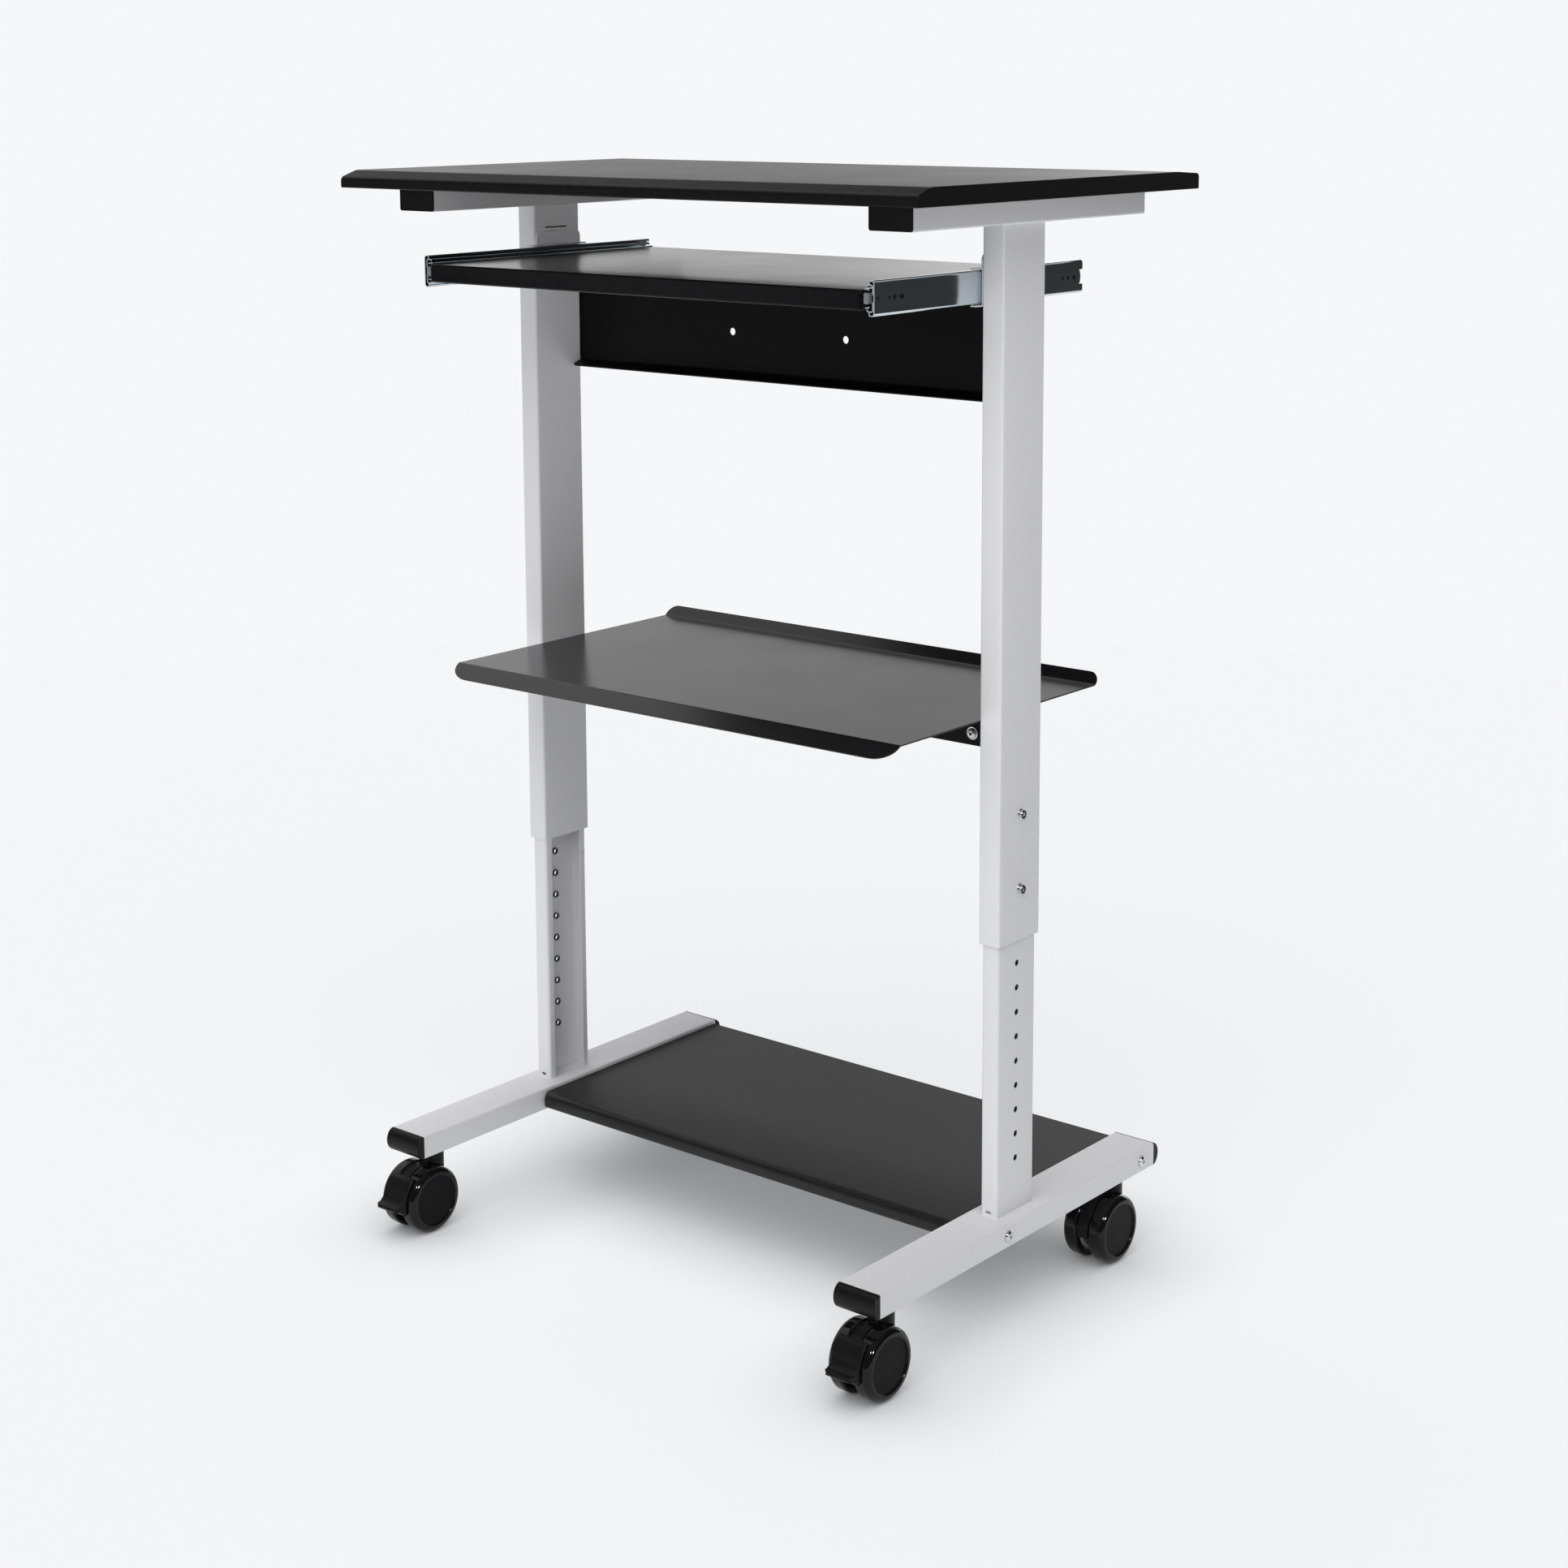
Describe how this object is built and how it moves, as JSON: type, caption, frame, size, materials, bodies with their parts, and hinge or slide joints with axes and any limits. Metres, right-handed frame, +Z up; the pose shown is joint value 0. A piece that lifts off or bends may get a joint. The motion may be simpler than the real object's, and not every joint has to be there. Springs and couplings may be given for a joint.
{
  "type": "computer desk with keyboard tray",
  "caption": "Mobile stand-up computer desk: black worktop and keyboard tray on a light grey steel frame with height-adjustable columns, shelves and locking casters.",
  "frame": {"origin": "on the floor, at the centre of the whole outline seen from above", "axes": "+Z up, the user stands on the -Y side and the keyboard tray slides out towards -Y, +X to the right as seen by the user"},
  "size_m": [0.75, 0.524, 1.1468],
  "materials": {
    "black_laminate": "satin laminate over particle board",
    "light_grey_powder_coat": "fine-textured powder coat",
    "black_sheet_steel": "satin powder coat",
    "black_plastic": "moulded, matt",
    "wheel_gloss_black": "glossy moulded nylon",
    "zinc_steel": "bright zinc plated"
  },
  "bodies": {
    "base": {"bottom_shelf": "black_laminate", "left_base_leg": "light_grey_powder_coat", "left_front_caster_stem": "zinc_steel", "left_front_leg_cap": "black_plastic", "left_front_shelf_bolt": "zinc_steel", "left_lower_column": "light_grey_powder_coat", "left_rear_caster_stem": "zinc_steel", "left_rear_leg_cap": "black_plastic", "left_rear_shelf_bolt": "zinc_steel", "right_base_leg": "light_grey_powder_coat", "right_front_caster_stem": "zinc_steel", "right_front_leg_cap": "black_plastic", "right_front_shelf_bolt": "zinc_steel", "right_lower_column": "light_grey_powder_coat", "right_rear_caster_stem": "zinc_steel", "right_rear_leg_cap": "black_plastic", "right_rear_shelf_bolt": "zinc_steel"},
    "upper_frame": {"left_front_rail_cap": "black_plastic", "left_lower_height_bolt": "zinc_steel", "left_rear_rail_cap": "light_grey_powder_coat", "left_slide_bracket": "light_grey_powder_coat", "left_slide_outer_member": "zinc_steel", "left_top_rail": "light_grey_powder_coat", "left_upper_height_bolt": "zinc_steel", "left_upright_tube": "light_grey_powder_coat", "middle_shelf": "black_sheet_steel", "modesty_panel": "black_sheet_steel", "right_front_rail_cap": "black_plastic", "right_lower_height_bolt": "zinc_steel", "right_rear_rail_cap": "light_grey_powder_coat", "right_slide_bracket": "light_grey_powder_coat", "right_slide_outer_member": "zinc_steel", "right_top_rail": "light_grey_powder_coat", "right_upper_height_bolt": "zinc_steel", "right_upright_tube": "light_grey_powder_coat", "shelf_crossbar": "black_sheet_steel", "worktop": "black_laminate"},
    "keyboard_tray": {"keyboard_tray": "black_laminate", "left_slide_inner_member": "zinc_steel", "right_slide_inner_member": "zinc_steel"},
    "left_front_brake_pedal": {"left_front_brake_pedal": "black_plastic"},
    "left_front_caster": {"left_front_caster_axle": "zinc_steel", "left_front_caster_hood": "black_plastic"},
    "left_front_caster_left_wheel": {"left_front_caster_left_wheel": "wheel_gloss_black"},
    "left_front_caster_right_wheel": {"left_front_caster_right_wheel": "wheel_gloss_black"},
    "left_rear_caster": {"left_rear_caster_axle": "zinc_steel", "left_rear_caster_hood": "black_plastic"},
    "left_rear_caster_left_wheel": {"left_rear_caster_left_wheel": "wheel_gloss_black"},
    "left_rear_caster_right_wheel": {"left_rear_caster_right_wheel": "wheel_gloss_black"},
    "left_slide_intermediate": {"left_slide_intermediate_member": "zinc_steel"},
    "right_front_brake_pedal": {"right_front_brake_pedal": "black_plastic"},
    "right_front_caster": {"right_front_caster_axle": "zinc_steel", "right_front_caster_hood": "black_plastic"},
    "right_front_caster_left_wheel": {"right_front_caster_left_wheel": "wheel_gloss_black"},
    "right_front_caster_right_wheel": {"right_front_caster_right_wheel": "wheel_gloss_black"},
    "right_rear_caster": {"right_rear_caster_axle": "zinc_steel", "right_rear_caster_hood": "black_plastic"},
    "right_rear_caster_left_wheel": {"right_rear_caster_left_wheel": "wheel_gloss_black"},
    "right_rear_caster_right_wheel": {"right_rear_caster_right_wheel": "wheel_gloss_black"},
    "right_slide_intermediate": {"right_slide_intermediate_member": "zinc_steel"}
  },
  "joints": [
    {"name": "height_adjust", "type": "slide", "parent": "base", "child": "upper_frame", "axis": [0, 0, 1], "range_m": [-0.2794, 0.0762]},
    {"name": "tray_slide", "type": "slide", "parent": "upper_frame", "child": "keyboard_tray", "axis": [0, -1, 0], "range_m": [0, 0.3]},
    {"name": "left_intermediate_slide", "type": "slide", "parent": "upper_frame", "child": "left_slide_intermediate", "axis": [0, -1, 0], "range_m": [0, 0.15]},
    {"name": "right_intermediate_slide", "type": "slide", "parent": "upper_frame", "child": "right_slide_intermediate", "axis": [0, -1, 0], "range_m": [0, 0.15]},
    {"name": "left_front_swivel", "type": "hinge", "parent": "base", "child": "left_front_caster", "pos_m": [-0.31, -0.1935, 0.08], "axis": [0, 0, 1], "continuous": true},
    {"name": "left_front_left_wheel_spin", "type": "hinge", "parent": "left_front_caster", "child": "left_front_caster_left_wheel", "pos_m": [-0.3265, -0.2105, 0.036], "axis": [1, 0, 0], "continuous": true},
    {"name": "left_front_right_wheel_spin", "type": "hinge", "parent": "left_front_caster", "child": "left_front_caster_right_wheel", "pos_m": [-0.2935, -0.2105, 0.036], "axis": [1, 0, 0], "continuous": true},
    {"name": "left_brake_pedal_hinge", "type": "hinge", "parent": "left_front_caster", "child": "left_front_brake_pedal", "pos_m": [-0.31, -0.23619, 0.06454], "axis": [-1, 0, 0], "range_deg": [0, 18]},
    {"name": "left_rear_swivel", "type": "hinge", "parent": "base", "child": "left_rear_caster", "pos_m": [-0.31, 0.2055, 0.08], "axis": [0, 0, 1], "continuous": true},
    {"name": "left_rear_left_wheel_spin", "type": "hinge", "parent": "left_rear_caster", "child": "left_rear_caster_left_wheel", "pos_m": [-0.3265, 0.1885, 0.036], "axis": [1, 0, 0], "continuous": true},
    {"name": "left_rear_right_wheel_spin", "type": "hinge", "parent": "left_rear_caster", "child": "left_rear_caster_right_wheel", "pos_m": [-0.2935, 0.1885, 0.036], "axis": [1, 0, 0], "continuous": true},
    {"name": "right_front_swivel", "type": "hinge", "parent": "base", "child": "right_front_caster", "pos_m": [0.31, -0.1935, 0.08], "axis": [0, 0, 1], "continuous": true},
    {"name": "right_front_left_wheel_spin", "type": "hinge", "parent": "right_front_caster", "child": "right_front_caster_left_wheel", "pos_m": [0.2935, -0.2105, 0.036], "axis": [1, 0, 0], "continuous": true},
    {"name": "right_front_right_wheel_spin", "type": "hinge", "parent": "right_front_caster", "child": "right_front_caster_right_wheel", "pos_m": [0.3265, -0.2105, 0.036], "axis": [1, 0, 0], "continuous": true},
    {"name": "right_brake_pedal_hinge", "type": "hinge", "parent": "right_front_caster", "child": "right_front_brake_pedal", "pos_m": [0.31, -0.23619, 0.06454], "axis": [-1, 0, 0], "range_deg": [0, 18]},
    {"name": "right_rear_swivel", "type": "hinge", "parent": "base", "child": "right_rear_caster", "pos_m": [0.31, 0.2055, 0.08], "axis": [0, 0, 1], "continuous": true},
    {"name": "right_rear_left_wheel_spin", "type": "hinge", "parent": "right_rear_caster", "child": "right_rear_caster_left_wheel", "pos_m": [0.2935, 0.1885, 0.036], "axis": [1, 0, 0], "continuous": true},
    {"name": "right_rear_right_wheel_spin", "type": "hinge", "parent": "right_rear_caster", "child": "right_rear_caster_right_wheel", "pos_m": [0.3265, 0.1885, 0.036], "axis": [1, 0, 0], "continuous": true}
  ],
  "couplings": [
    {"joint": "left_intermediate_slide", "follows": "tray_slide", "ratio": 0.5},
    {"joint": "right_intermediate_slide", "follows": "tray_slide", "ratio": 0.5}
  ]
}
